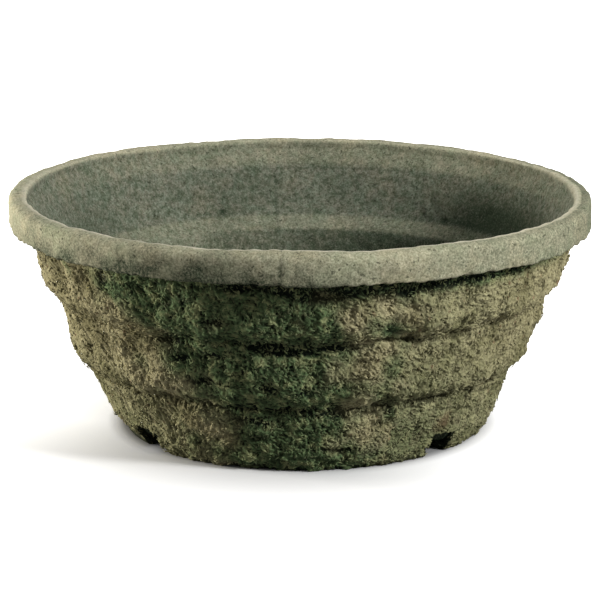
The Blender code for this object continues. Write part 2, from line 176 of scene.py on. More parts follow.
# Lumps and fills that the CAD solids have too: how high the lumps stand, how far apart they are, how many waves add
# up to them, and the closest and widest of those waves as shares. A fill is the azimuth of its middle, its half
# width and the height of its groove. The small fills are in no solid.
LUMP_HEIGHT = 1.0
LUMP_SPACING = 38.0
LUMP_WAVES = 16
WAVE_SHARES = (0.75, 1.75)
GOLDEN_SHARE = (math.sqrt(5) - 1) / 2
NECK_RADIUS = 190.0
LUMPS_END = 36.5
FILLS = [(-66, 12, 98), (118, 16, 98), (-70, 14, 49), (-150, 18, 49)]
SMALL_FILLS = [(-42, 8, 98), (-22, 5, 98)]
FILL_DEPTH = 3.8
FILL_REACH = 6
GROOVE_LEVELS = [97, 48]
GROOVE_REACH = 2.4

# Lamps: azimuth and elevation, size in metres, brightness on a face that looks at the lamp as a share of white, and
# colour. All hang at one distance from a point on the axis, whose height is the second number below, in metres.
LAMPS = {
    "lamp_right": (56, 27, 0.25, 0.80, "ffffff"),
    "lamp_left": (-98, 5, 0.50, 1.25, "fffaf2"),
    "lamp_above": (60, 78, 0.9, 0.20, "ffffff"),
    "lamp_behind": (185, 14, 0.9, 0.31, "fffaf2"),
}
LAMP_DISTANCE = 1.6
LAMP_TARGET = 0.08
WORLD_STRENGTH = 0.13

# The photograph's camera: lens and sensor in millimetres, shift in pixels, distance and target height in metres.
LENS = 156
SENSOR = 36
SHIFT = (-1.6, 3.5)
PICTURE_WIDTH = 600
CAMERA_DISTANCE = 1.830
CAMERA_ELEVATION = 13.9
CAMERA_TARGET = 0.0830


def linear(code):
    """Turn an sRGB hex colour into linear red, green and blue."""
    values = np.array([int(code[place:place + 2], 16) for place in (0, 2, 4)]) / 255
    return tuple(np.where(values <= 0.04045, values / 12.92, ((values + 0.055) / 1.055) ** 2.4))


def length(name, description, default):
    """Return a property for a length in metres."""
    return FloatProperty(name=name, description=description, default=default, unit="LENGTH")


def colour(name, description, code):
    """Return a property for a colour, of which the default is given in sRGB hex."""
    return FloatVectorProperty(name=name, description=description, subtype="COLOR", size=3, default=linear(code))


class PulpSizes(PropertyGroup):
    """Sizes of the pulp's relief."""

    flake_length: length("Flake length", "Longest flake of pulp on the outside", 0.0072)
    flake_width: length("Flake width", "Widest flake of pulp on the outside", 0.0016)
    flake_lift: length("Flake lift", "How far flakes stand out of the outside", 0.0011)
    knob_height: length("Knob height", "Height of the knobs and tufts on the outside", 0.0011)
    felt_height: length("Felt relief", "Height of the felt's relief on the smooth side", 0.0002)
    sliver_length: length("Sliver length", "Longest loose sliver on the outside", 0.0052)
    sliver_count: IntProperty(
        name="Slivers", description="Loose slivers on each hundred square centimetres", default=1900, min=0)


class PulpColours(PropertyGroup):
    """Colours of the pulp."""

    straw: colour("Straw", "Dry fibres on the crests", "bab28b")
    olive: colour("Olive", "Fibres between the crests", "8a8460")
    # The shade colour and the moss colour below paint the shade in the hollows, where dry and where damp.
    shade: colour("Shade", "Dry pulp in the hollows", "413e29")
    moss_and_shade: colour("Moss", "Damp pulp in the hollows", "0f170e")
    felt_light: colour("Light felt", "Light fibres of the smooth side", "e4e1c8")
    felt_dark: colour("Dark felt", "Dark fibres of the smooth side", "a19f88")


def bell(value, middle, reach):
    """Return a bell curve: exp of minus half the square of the distance from the middle over the reach."""
    return np.exp(-0.5 * ((value - middle) / reach) ** 2)


def ramp(value, start, end):
    """Return how far a value has gone from a start to an end, from 0 to 1."""
    return np.clip((value - start) / (end - start), 0, 1)


def turns(columns):
    """Return the azimuths of columns spaced evenly round the axis, in radians."""
    return np.arange(columns) * math.tau / columns


def turn_from(azimuth, degrees):
    """Return how far azimuths are from one in degrees, in degrees, from -180 to 180."""
    return (np.degrees(azimuth) - degrees + 180) % 360 - 180


def sector(azimuth, degrees, reach):
    """Return a bell curve round an azimuth, with both numbers in degrees."""
    return bell(turn_from(azimuth, degrees), 0, reach)


def patches(azimuth, level, table):
    """Return the sum of a table's soft patches: a bell round the azimuth times one round the height."""
    return sum(strength * sector(azimuth, degrees, half_turn) * bell(level, middle, half_height)
               for degrees, middle, half_turn, half_height, strength in table)


def rounded_line(corners, step):
    """Return a line through corners as points a step apart: straight runs joined by parabolic rounds.

    A corner's round starts and ends its own length before and after the corner. Between them the point is
    (1-t)^2 of the first end, 2t(1-t) of the corner and t^2 of the last end, with t from 0 to 1.
    """
    points = np.array([corner[:2] for corner in corners], float) * MM
    pieces = [points[:1]]
    for index in range(1, len(points) - 1):
        reach = corners[index][2] * MM
        before, corner, after = points[index - 1:index + 2]
        first = corner + (before - corner) / np.linalg.norm(before - corner) * reach
        last = corner + (after - corner) / np.linalg.norm(after - corner) * reach
        if (first - pieces[-1][-1]) @ (corner - before) < 0:
            raise ValueError(f"the rounds overlap before corner {index} of a line")
        t = np.linspace(0, 1, 13)[:, None]
        pieces.append((1 - t) ** 2 * first + 2 * t * (1 - t) * corner + t ** 2 * last)
    pieces.append(points[-1:])
    line = np.vstack(pieces)
    run = np.hstack([0, np.cumsum(np.linalg.norm(np.diff(line, axis=0), axis=1))])
    even = np.linspace(0, run[-1], round(run[-1] / step) + 1)
    return np.stack([np.interp(even, run, line[:, axis]) for axis in (0, 1)], axis=1)


def line_normals(line):
    """Return a line's unit normals: its direction turned a quarter, so that they point away from the axis where the
    line falls, and towards it where it rises."""
    along = np.gradient(line, axis=0)
    along /= np.linalg.norm(along, axis=1, keepdims=True)
    return np.stack([-along[:, 1], along[:, 0]], axis=1)


def row_at(line, level):
    """Return the row of a line that is nearest to a height in millimetres."""
    return int(np.abs(line[:, 1] - level * MM).argmin())


def at_rows(values, rows):
    """Return values at rows between whole ones, each on a straight line between its two neighbours."""
    low = np.minimum(rows.astype(int), len(values) - 2)
    share = (rows - low).reshape(-1, *[1] * (values.ndim - 1))
    return values[low] * (1 - share) + values[low + 1] * share


def blurred(field, cell, reach):
    """Return a field blurred by a Gaussian: its Fourier terms times exp(-2 pi^2 reach^2 frequency^2)."""
    down = np.fft.fftfreq(field.shape[0], cell[0])[:, None]
    across = np.fft.rfftfreq(field.shape[1], cell[1])
    gain = np.exp(-2 * (math.pi * reach) ** 2 * (down ** 2 + across ** 2))
    return np.fft.irfft2(np.fft.rfft2(field) * gain, field.shape)


def soft_noise(rng, shape, cell, reach):
    """Return noise of unit spread: white noise blurred by a Gaussian of a reach in metres, periodic both ways."""
    field = blurred(rng.standard_normal(shape), cell, reach)
    return field / field.std()


def raised(line, normals, relief):
    """Return the radius and height of a line's points, each moved along its normal by a relief."""
    return line[:, :1] + normals[:, :1] * relief, line[:, 1:] + normals[:, 1:] * relief


def on_circle(radius, height, azimuth):
    """Return points from radius, height and azimuth, stacked on a last axis."""
    radius, height, azimuth = np.broadcast_arrays(radius, height, azimuth)
    return np.stack([radius * np.sin(azimuth), -radius * np.cos(azimuth), height], axis=-1)


def round_axis(line, azimuth):
    """Return a line's points turned to each azimuth."""
    return on_circle(line[..., :1], line[..., 1:], azimuth)


def grid_normals(points):
    """Return unit normals of a grid that closes round the axis: the way down its rows crossed with the way round."""
    normals = np.cross(np.gradient(points, axis=0), np.roll(points, -1, axis=1) - np.roll(points, 1, axis=1))
    return normals / np.maximum(np.linalg.norm(normals, axis=-1, keepdims=True), 1e-12)


def tube_faces(rows, columns, whole_turn):
    """Return the faces of a tube whose rows close round its section. Where it isn't a whole turn, its ends are
    closed by one flat face each."""
    row = np.arange(rows)[:, None]
    column = np.arange(columns if whole_turn else columns - 1)[None, :]
    below, beside = (row + 1) % rows, (column + 1) % columns
    quads = np.stack([row * columns + column, below * columns + column,
                      below * columns + beside, row * columns + beside], axis=-1).reshape(-1, 4)
    ends = np.arange(rows)[None, :] * columns
    return [quads] if whole_turn else [quads, ends[:, ::-1], ends + columns - 1]


def shell_faces(layers, keep, whole_turn):
    """Return the faces of a shell of layers of a grid, of which only the kept cells are there.

    The first layer is the front and the last the back. Wherever a kept cell has no kept neighbour, a wall joins the
    layers. Points are numbered by layer, then row, then column.
    """
    rows, columns = keep.shape[0] + 1, keep.shape[1] + (not whole_turn)

    def face(*corners):
        return np.stack([(layer * rows + row) * columns + column % columns for layer, row, column in corners], axis=1)

    row, column = np.nonzero(keep)
    front = face((0, row, column), (0, row + 1, column), (0, row + 1, column + 1), (0, row, column + 1))
    back = front[:, ::-1] + (layers - 1) * rows * columns
    near = np.pad(keep, 1)
    if whole_turn:
        near[:, 0], near[:, -1] = near[:, -2], near[:, 1]
    walls = []
    # Each neighbour with the corners of a cell, by row and column, between which it lies.
    for neighbour, down, across, next_down, next_across in (
            (near[1:-1, :-2], 1, 0, 0, 0), (near[1:-1, 2:], 0, 1, 1, 1),
            (near[:-2, 1:-1], 0, 0, 0, 1), (near[2:, 1:-1], 1, 1, 1, 0)):
        row, column = np.nonzero(keep & ~neighbour)
        start, end = (row + down, column + across), (row + next_down, column + next_across)
        walls += [face((layer, *start), (layer, *end), (layer + 1, *end), (layer + 1, *start))
                  for layer in range(layers - 1)]
    return [front, back, np.vstack(walls)]


# What a Map Range node reads, where it starts and ends, and its values there.
RANGE_INPUTS = ("Value", "From Min", "From Max", "To Min", "To Max")


def rgba(shade):
    """Return a linear colour with full alpha, from an sRGB hex code or from linear red, green and blue."""
    return (*(linear(shade) if isinstance(shade, str) else shade), 1.0)


def add_node(tree, kind, inputs=None, colours=None, **settings):
    """Add a shader node, set its settings and the colours of its ramp, and fill its inputs.

    An input takes a value, a colour in sRGB hex, an output, or a node, which stands for its first output in use.
    """
    node = tree.nodes.new("ShaderNode" + kind)
    for key, value in settings.items():
        setattr(node, key, value)
    for key, value in (inputs or {}).items():
        if isinstance(value, bpy.types.Node):
            value = next(output for output in value.outputs if output.enabled)
        if isinstance(value, bpy.types.NodeSocket):
            tree.links.new(value, node.inputs[key])
        else:
            node.inputs[key].default_value = rgba(value) if isinstance(value, str) else value
    if colours:
        while len(node.color_ramp.elements) < len(colours):
            node.color_ramp.elements.new(0.5)
        for element, (place, shade) in zip(node.color_ramp.elements, colours):
            element.position = place
            element.color = rgba(shade)
    return node


def emptied(owner):
    """Empty the node tree of a material or of the world, and return the function that adds a node to it."""
    owner.use_nodes = True
    owner.node_tree.nodes.clear()
    return partial(add_node, owner.node_tree)


def felted_pulp(node, chosen):
    """Felted wood pulp, pressed smooth against the mould: matt grey-tan felt in which single light fibres and dark
    specks show, with broad greener and warmer clouds where it dried unevenly. Return its colour and bump."""
    place = node("TexCoord").outputs["Object"]
    # Size in millimetres, detail, roughness and distortion. Felted fibres are about 1.5 mm long, the specks about
    # 5 mm apart, and the blotches, wisps and clouds about 4, 9 and 30 mm wide.
    fibre, speck, blotch, wisp, cloud = (
        node("TexNoise", {"Vector": place, "Scale": 1 / (size * MM), "Detail": fine, "Roughness": rough,
                          "Distortion": bent})
        for size, fine, rough, bent in (
            (1.4, 3, 0.7, 0), (2.6, 1, 0.5, 0), (3.6, 4, 0.65, 0), (9, 4, 0.7, 0.6), (30, 6, 0.65, 0)))
    inside, damp_and_shade, wear_and_painted_light = (node("Attribute", attribute_name=name).outputs["Fac"] for name in ("inside", "damp_and_shade", "wear_and_painted_light"))
    felt, patchy, wispy, cloudy = (node("ValToRGB", {"Fac": noise}, colours) for noise, colours in (
        (fibre, [(0.34, chosen.felt_dark), (0.66, chosen.felt_light)]),
        (blotch, [(0.38, "b6beb2"), (0.60, "ffffff")]),
        (wisp, [(0.40, "eef3ec"), (0.60, "faf3ee")]),
        (cloud, [(0.32, "dfe6da"), (0.5, "f0efe8"), (0.68, "fcf6ea")])))
    mottled, grain, dark = (
        node("MapRange", dict(zip(RANGE_INPUTS, row))) for row in (
            (inside, 0, 1, 0.35, 1), (fibre, 0.3, 0.7, 1.4, 0.6), (speck, 0.66, 0.72, 0, 0.65)))
    darkened = node("Math", {0: damp_and_shade, 1: grain}, operation="MULTIPLY", use_clamp=True)
    # The rim is paler, and the inside is greyer and more mottled, and darker, which paints the shade inside the
    # bowl. Damp with painted shade, and specks, lie over that, and a painted highlight runs along the rim's inner edge.
    tone = felt
    for share, over, blend in ((inside, "b8c0cb", "MULTIPLY"), (mottled, patchy, "MULTIPLY"),
                               (mottled, wispy, "MULTIPLY"), (1.0, cloudy, "MULTIPLY"), (darkened, "333f2e", "MIX"),
                               (dark, "33362a", "MIX"), (wear_and_painted_light, "f1ead4", "MIX")):
        tone = node("Mix", {"Factor": share, 6: tone, 7: over}, data_type="RGBA", blend_type=blend)
    return tone, node("Bump", {"Height": fibre, "Strength": 0.7, "Distance": 0.45 * MM})


def shaggy_pulp(node, chosen):
    """Wood pulp left rough on the free side: shredded flakes with straw-coloured crests and olive flanks, hollows
    painted dark as shade, mossy green in the damp zone, and here and there a reddish shred. Return its colour and bump."""
    place = node("TexCoord").outputs["Object"]
    # Size in millimetres, detail and roughness. Shreds are about 1.5 mm wide where they cross, with a finer grain,
    # red shreds 6 mm long, patches in the damp and painted shade zone 9 mm and clouds of colour 26 mm wide.
    shred, grain, red, patch, cloud = (
        node("TexNoise", {"Vector": place, "Scale": 1 / (size * MM), "Detail": fine, "Roughness": rough})
        for size, fine, rough in ((1.5, 3, 0.7), (1.1, 3, 0.7), (6, 1, 0.5), (9, 4, 0.6), (26, 3, 0.5)))
    hollow_shade, damp_and_shade = (node("Attribute", attribute_name=name).outputs["Fac"] for name in ("hollow_shade", "damp_and_shade"))
    mixed = node("Math", {0: shred, 1: cloud}, operation="ADD")
    away = node("VectorMath", {0: place, 1: RED_PATCH}, operation="DISTANCE")
    dry, rare, near, reach = (
        node("MapRange", dict(zip(RANGE_INPUTS, row))) for row in (
            (mixed, 0.84, 1.14, 0, 1), (red, 0.70, 0.76, 0, 0.5), (away, 3 * MM, 11 * MM, 0.55, 0),
            (damp_and_shade, 0, 1, 0.72, 1)))
    # Crests stay as they are, and below them the colour goes dark, which paints the shade in the hollows: to shade
    # where dry and to near black moss where damp, less far where the pulp is dry.
    depth = node("MapRange", dict(zip(RANGE_INPUTS, (hollow_shade, 0.25, 0.85, 0, reach))))
    below = node("Mix", {"Factor": damp_and_shade, 6: rgba(chosen.shade), 7: rgba(chosen.moss_and_shade)}, data_type="RGBA")
    moss_and_shade = node("ValToRGB", {"Fac": patch}, [(0.38, "404f34"), (0.50, "677c54"), (0.62, "949b6e")])
    tone = rgba(chosen.olive)
    for share, over in ((dry, rgba(chosen.straw)), (rare, "8a5a48"), (damp_and_shade, moss_and_shade), (depth, below), (near, "6b4c3c")):
        tone = node("Mix", {"Factor": share, 6: tone, 7: over}, data_type="RGBA")
    return tone, node("Bump", {"Height": grain, "Strength": 0.8, "Distance": 0.6 * MM})


@cache
def pulp(slot):
    """Return the material of a slot, made once. Both kinds of pulp are dry, so they are matt."""
    name, dress = {SMOOTH_SLOT: ("felted_wood_pulp_mould_side", felted_pulp),
                   ROUGH_SLOT: ("shredded_wood_pulp_free_side", shaggy_pulp)}[slot]
    material = bpy.data.materials.new(name)
    node = emptied(material)
    tone, bump = dress(node, bpy.context.scene.planter_colours)
    shader = node("BsdfPrincipled", {"Base Color": tone, "Roughness": 0.95, "Specular IOR Level": 0.15, "Normal": bump})
    node("OutputMaterial", {"Surface": shader})
    return material


def add_object(name, data):
    """Make an object of some data and link it to the scene."""
    obj = bpy.data.objects.new(name, data)
    bpy.context.scene.collection.objects.link(obj)
    return obj


def new_piece(name, points, faces, body_slot, nodes, fields, flat=(), normals=None):
    """Make a mesh object from points and faces, and dress it as a piece that rides on the root body.

    faces is a list of arrays, each with one row of point numbers for every face. flat says which arrays, by their
    place in the list, are shaded flat. fields hold what the material reads at each point. normals, one for each
    point, keep the shading even where two pieces meet.
    """
    used, renumbered = np.unique(np.hstack([part.ravel() for part in faces]), return_inverse=True)
    totals = np.hstack([np.full(len(part), part.shape[1]) for part in faces])
    smooth = np.hstack([np.full(len(part), place not in flat) for place, part in enumerate(faces)])
    mesh = bpy.data.meshes.new(name)
    mesh.vertices.add(len(used))
    mesh.vertices.foreach_set("co", points.reshape(-1, 3)[used].astype(np.float32).ravel())
    mesh.loops.add(len(renumbered))
    mesh.loops.foreach_set("vertex_index", renumbered.astype(np.int32))
    mesh.polygons.add(len(totals))
    mesh.polygons.foreach_set("loop_start", (np.cumsum(totals) - totals).astype(np.int32))
    mesh.polygons.foreach_set("use_smooth", smooth)
    for key, values in fields.items():
        layer = mesh.attributes.new(key, "FLOAT", "POINT")
        layer.data.foreach_set("value", values.ravel()[used].astype(np.float32))
    mesh.update(calc_edges=True)
    mesh.validate()
    if normals is not None:
        mesh.normals_split_custom_set_from_vertices(normals.reshape(-1, 3)[used].tolist())
    mesh.materials.append(pulp(body_slot))
    piece = add_object(name, mesh)
    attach(piece, BODY)
    if nodes:
        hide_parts(*nodes)


def damp_and_shade_share(azimuth, level, noise):
    """Return how damp the pulp is and how much shade is painted on it: a zone in front, partly damp and partly
    painted shade, whose middle and width change with height, with edges worn by noise, one more like it on the far
    side, a band of painted shade under the rim that is strongest in front, and a haze that is painted shade on the
    right front and grows towards the bottom."""
    middle = np.interp(level, DAMP_SHADE_LEVELS, DAMP_SHADE_MIDDLES)
    half = np.interp(level, DAMP_SHADE_LEVELS, DAMP_SHADE_HALVES)
    front = 0.5 + (half - np.abs(turn_from(azimuth, middle))) / DAMP_SHADE_EDGE
    behind = 0.2 + (half - np.abs(turn_from(azimuth, 175 - middle))) / (2 * DAMP_SHADE_EDGE)
    turn = turn_from(azimuth, 0)
    rim_shade_span = ramp(turn, *BAND_LEFT) * ramp(turn, *BAND_RIGHT)
    painted_rim_shade = (1.1 * bell(level, BAND_LEVEL, 5) - 0.1) * (0.15 + 0.85 * rim_shade_span)
    haze = 0.30 * sector(azimuth, 20, 20) + 0.32 * ramp(level, 85, 25)
    share = np.clip(np.maximum(np.maximum(front, behind), painted_rim_shade), 0, 1.2) + 0.26 * noise * (front > -1.5) + haze
    return np.clip(share, 0, 1)


def stamp_flakes(field, line, rng, sizes):
    """Lay flakes over a field of heights, each a thin curved ellipse that tilts, and keep the highest of all.

    With p along a flake and q across it, q is moved by the bend times p squared, and the flake's height is its
    place in the field plus its lift, plus thickness times the root of 1 - (p/length)^2 - (q/width)^2, plus the
    tilt times p.
    """
    rows, columns = field.shape
    cell = math.tau * line[:, 0] / columns
    area = rows * COAT_STEP * columns * cell.mean()
    count = int(FLAKE_COVER * area / (math.pi / 4 * sizes.flake_length * sizes.flake_width * FLAKE_SHARE))
    row, column, turn = (rng.uniform(0, end, count) for end in (rows - 1, columns, math.pi))
    azimuth = column * math.tau / columns
    # On the left of the front most flakes lean down to the right.
    left = sector(azimuth, LEAN_TURN, LEAN_REACH)
    leaning = rng.uniform(0, 1, count) < 0.92 * left
    turn = np.where(leaning, rng.normal(1.05, 0.3, count), turn)
    half_length, half_width, lift, thickness, tilt, bend = (rng.uniform(*ends, count) for ends in FLAKE_RANGES)
    # They are longer and slimmer there, and shorter on the right.
    longer = 1 - 0.4 * sector(azimuth, 70, 32) + LEAN_STRETCH * left
    half_length = sizes.flake_length / 2 * half_length * longer
    half_width = sizes.flake_width / 2 * half_width * (1 - 0.2 * left)
    thickness = sizes.flake_lift * thickness
    base = field[row.astype(int), column.astype(int)] + sizes.flake_lift * lift
    result = field.copy()
    longest = sizes.flake_length / 2 * (1 + LEAN_STRETCH)
    down, across = (np.arange(-reach, reach + 1) for reach in (int(longest / COAT_STEP) + 1,
                                                               int(longest / cell.min()) + 1))
    flakes = np.stack([row, column, turn, half_length, half_width, thickness, tilt, bend, base])
    for part in np.array_split(flakes, count // 4000 + 1, axis=1):
        row, column, turn, half_length, half_width, thickness, tilt, bend, base = part[..., None, None]
        at_row = row.astype(int) + down[:, None]
        at_column = column.astype(int) + across
        inside = (at_row >= 0) & (at_row < rows)
        at_row = np.clip(at_row, 0, rows - 1)
        v = (at_row - row) * COAT_STEP
        u = (at_column - column) * cell[at_row]
        p = u * np.cos(turn) + v * np.sin(turn)
        q = v * np.cos(turn) - u * np.sin(turn) + bend * p ** 2
        dome = 1 - (p / half_length) ** 2 - (q / half_width) ** 2
        value = base + thickness * np.sqrt(np.maximum(dome, 0)) + tilt * p
        hit = inside & (dome > 0)
        np.maximum.at(result.ravel(), (at_row * columns + at_column % columns)[hit], value[hit])
    return result


def main_relief(azimuth, level):
    """Return how far the solids' outside stands out: a sum of cosines of turn and height, with a bell for each fill.

    Wave k leans by pi (k + 1/2) / waves, and its spacing goes from the closest to the widest by the fractional part
    of k times the golden share. Its phase is a whole turn times the fractional part of k squared times that share.
    """
    number = np.arange(LUMP_WAVES)
    lean = math.pi * (number + 0.5) / LUMP_WAVES
    spacing = LUMP_SPACING * (WAVE_SHARES[0] + (WAVE_SHARES[1] - WAVE_SHARES[0]) * (number * GOLDEN_SHARE % 1))
    around = np.round(math.tau * NECK_RADIUS / spacing * np.cos(lean))
    rise = math.tau / spacing * np.sin(lean)
    phase = math.tau * (number ** 2 * GOLDEN_SHARE % 1)
    total = sum(np.cos(a * azimuth + r * level + p) for a, r, p in zip(around, rise, phase))
    lumps = LUMP_HEIGHT * math.sqrt(2 / LUMP_WAVES) * total * ramp(level, FOOT_TOP, LUMPS_END)
    fills = [(degrees, groove, half_turn, FILL_REACH, FILL_DEPTH) for degrees, half_turn, groove in FILLS + SMALL_FILLS]
    return (lumps + patches(azimuth, level, fills)) * MM


class Coat:
    """The rough outside of one tier, the lowest with the foot: its line, and fields of relief, painted hollow shade,
    damp with painted shade, and lumps on its grid."""

    def __init__(self, corners, seed):
        sizes = bpy.context.scene.planter_sizes
        rng = np.random.default_rng(seed)
        self.line = rounded_line(corners, COAT_STEP)
        self.normals = line_normals(self.line)
        azimuth = turns(COAT_COLUMNS)
        shape = (len(self.line), COAT_COLUMNS)
        cell = (COAT_STEP, math.tau * self.line[:, 0].mean() / COAT_COLUMNS)
        level = self.line[:, 1:] / MM + np.zeros(shape)
        self.lumps = main_relief(azimuth, level)
        noise = partial(soft_noise, rng, shape, cell)
        knobs, tufts = noise(3.4 * MM), noise(1.7 * MM)
        calm = sector(azimuth, LEAN_TURN, LEAN_REACH)
        dents = MM * patches(azimuth, level, DENTS)
        base = sizes.knob_height * (0.55 * knobs * (1 - 0.3 * calm) + 0.34 * tufts * (1 - 0.5 * calm)) - dents
        pits = np.clip(noise(0.8 * MM) - 1.2, 0, 1.3) * MM
        self.relief = stamp_flakes(base - pits, self.line, rng, sizes)
        filled = np.clip(sum(sector(azimuth, degrees, half_turn) * (np.abs(level - groove) < 3 * GROOVE_REACH)
                             for degrees, half_turn, groove in FILLS + SMALL_FILLS), 0, 1)
        grooves = sum(bell(level, groove, GROOVE_REACH) for groove in GROOVE_LEVELS) * (1 - filled)
        rim_shadow_foot = np.interp(turn_from(azimuth, 0), RIM_SHADOW_TURNS, RIM_SHADOW_FEET) + 0.8 * knobs
        painted_rim_shadow = 0.5 * np.clip((level - rim_shadow_foot) / 1.2, 0, 1)
        # Painted shade: a place is darker where what lies round it stands higher, in a dent or groove, at the foot, and
        # in the painted shadow of the rim.
        sunk = (blurred(self.relief, cell, 2.4 * MM) - self.relief) / (2.1 * MM)
        self.hollow_shade = np.clip(sunk + 0.38 + dents / (5 * MM) + 0.55 * grooves + 0.6 * bell(level, 0, 1.8) + painted_rim_shadow, 0, 1)
        self.damp_and_shade = damp_and_shade_share(azimuth, level, noise(5 * MM))

    def outer(self, first, last, azimuth):
        """Return the displaced points of some rows at given azimuths, with their painted hollow shade and their damp
        with painted shade.
        """
        line, normals = self.line[first:last + 1], self.normals[first:last + 1]
        place = np.broadcast_to(azimuth, (len(line), azimuth.shape[-1])) / math.tau * COAT_COLUMNS
        left = np.floor(place).astype(int)
        share = place - left
        relief, hollow_shade, damp_and_shade, lumps = (
            np.take_along_axis(field[first:last + 1], left % COAT_COLUMNS, 1) * (1 - share)
            + np.take_along_axis(field[first:last + 1], (left + 1) % COAT_COLUMNS, 1) * share
            for field in (self.relief, self.hollow_shade, self.damp_and_shade, self.lumps))
        radius, height = raised(line, normals, relief)
        return on_circle(radius + lumps, np.maximum(height, 0), azimuth), hollow_shade, damp_and_shade


@cache
def coat(name):
    """Return one of the three coats, worked out once."""
    return Coat(*{"upper": (UPPER_LINE, 11), "middle": (MIDDLE_LINE, 12), "lower": (LOWER_LINE, 13)}[name])


def rough_ring(name, node, coat_name, first, last, inner_corners, start=0, columns=COAT_COLUMNS):
    """Make a rough piece whose section runs down the coat's rows and back up its plain inner side.

    It covers a number of the coat's columns from a start, and is closed by flat ends where that isn't all of them.
    """
    whole_turn = columns == COAT_COLUMNS
    numbers = start + np.arange(columns + (not whole_turn))
    azimuth = numbers * math.tau / COAT_COLUMNS
    outer, hollow_shade, damp_and_shade = coat(coat_name).outer(first, last, azimuth)
    inside = round_axis(np.array(inner_corners, float) * MM, azimuth)
    points = np.vstack([outer, inside])
    plain = np.ones(inside.shape[:2])
    fields = {"hollow_shade": np.vstack([hollow_shade, 0.5 * plain]), "damp_and_shade": np.vstack([damp_and_shade, 0.3 * plain])}
    new_piece(name, points, tube_faces(len(points), len(numbers), whole_turn), ROUGH_SLOT, [node], fields, (1, 2))


class PLANTER_OT_tiers(Operator):
    """Build the rough outer body of the three tiers"""

    bl_idname = "planter.tiers"
    bl_label = "Rough tiers"

    def execute(self, context):
        half = COAT_COLUMNS // 2
        for coat_name, inner in (("upper", [(160.5, 99), (172.8, 110.5), (184.8, 141.5)]),
                                 ("middle", [(139.5, 50), (151.6, 61.5), (160.3, 100.5)])):
            for side, start in (("front", -half // 2), ("back", half // 2)):
                rough_ring(f"{coat_name}_tier_{side}_half", coat_name + "_tier", coat_name, 0,
                           len(coat(coat_name).line) - 1, inner, start, half)
        line = coat("lower").line
        rough_ring("lower_tier_shell", "lower_tier", "lower", 0, row_at(line, FOOT_TOP),
                   [(131.9, FOOT_TOP), (139.1, 52)])
        return {"FINISHED"}


def make_block(node, seed, turn, next_turn):
    """Make the block between two notches as a shell from its outside and underside to its inner side.

    At each row the azimuth runs evenly from one notch's side to the other's. A notch's side lies half its
    width from the notch's middle, so its azimuth is off by the arcsine of that over the radius. The sides are
    roughened by noise along the azimuth, and the edges worn back beside them.
    """
    lower = coat("lower")
    first, last = row_at(lower.line, NOTCH_TOP), row_at(lower.line, 0)
    line = lower.line[first:last + 1]
    under = np.stack([np.linspace(line[-1, 0], FLANGE_RADIUS * MM, 8)[1:], np.zeros(7)], axis=1)
    front = np.vstack([line, under])
    back = rounded_line(BLOCK_BACK, 0.2 * MM)
    back = back[np.linspace(0, len(back) - 1, len(front)).astype(int)]
    layers, columns = BLOCK_LAYERS, round((next_turn - turn) / math.tau * COAT_COLUMNS * BLOCK_COLUMNS_SHARE)
    rng = np.random.default_rng(seed)
    along = np.linspace(0, 1, columns)
    depth = np.linspace(0, 1, layers)[:, None, None]
    section = front * (1 - depth) + back * depth
    reach = np.arcsin(NOTCH_HALF_WIDTH * MM / section[..., 0])
    jamb = rng.standard_normal((2, layers, len(front)))
    wear = soft_noise(rng, (2 * layers, len(front)), (1.0, 1.0), 1.0).reshape(2, layers, -1)
    jamb = (0.3 * jamb + wear) * 1.1 * MM / section[..., 0]
    start, end = turn + reach + jamb[0], next_turn - reach - jamb[1]
    azimuth = start[..., None] * (1 - along) + end[..., None] * along
    points = round_axis(section[..., None, :], azimuth[..., None])[..., 0, :]
    points[0, :len(line)], hollow_shade, damp_and_shade = lower.outer(first, last, azimuth[0, :len(line)])
    edge = np.minimum(azimuth[0] - start[0][:, None], end[0][:, None] - azimuth[0])
    wear_and_painted_light = np.exp(-edge * front[:, :1] / (2.2 * MM))
    points[0] -= on_circle(2.4 * MM * wear_and_painted_light, 0, azimuth[0])
    # Inside the notch the block's sides and underside, and the worn edges beside it, are painted dark as shade.
    fields = {"hollow_shade": np.full(azimuth.shape, 0.85), "damp_and_shade": np.full(azimuth.shape, 0.9)}
    fields["hollow_shade"][0, :len(line)] = np.maximum(hollow_shade, 0.85 * wear_and_painted_light[:len(line)])
    fields["damp_and_shade"][0, :len(line)] = damp_and_shade
    keep = np.ones((len(front) - 1, columns - 1), bool)
    new_piece(node + "_block", points, shell_faces(layers, keep, False), ROUGH_SLOT, [node], fields, (2,))


class PLANTER_OT_foot(Operator):
    """Build the rough band over the notches and the four blocks between them"""

    bl_idname = "planter.foot"
    bl_label = "Rough foot"

    def execute(self, context):
        line = coat("lower").line
        rough_ring("foot_band_shell", "foot_band", "lower", row_at(line, FOOT_TOP), row_at(line, NOTCH_TOP),
                   [(130.2, NOTCH_TOP), (131.9, FOOT_TOP)])
        ends = [*NOTCH_TURNS[1:], NOTCH_TURNS[0] + 360]
        for (node, seed), turn, next_turn in zip(BLOCKS, NOTCH_TURNS, ends):
            make_block(node, seed, math.radians(turn), math.radians(next_turn))
        return {"FINISHED"}


def felt_fields(line, columns, rng):
    """Return the felt's relief in metres and its clouds, as rows of a line by columns round the axis."""
    cell = (np.linalg.norm(line[1] - line[0]), math.tau * FELT_RADIUS / columns)
    broad, small, cloud = (soft_noise(rng, (len(line), columns), cell, reach * MM) for reach in (13, 2, 16))
    return bpy.context.scene.planter_sizes.felt_height * (1.6 * broad + 0.8 * small), cloud


@cache
def bowl():
    """Return the bowl's line and its row where the rim ends and the skin starts."""
    line = rounded_line(BOWL_LINE, SKIN_STEP)
    return line, row_at(line, RIM_UNDERSIDE)


def joint_normals(columns):
    """Return the normals that the rim and the skin share where they meet."""
    line, joint = bowl()
    normal = -line_normals(line)[joint]
    return on_circle(normal[0], normal[1], turns(columns))


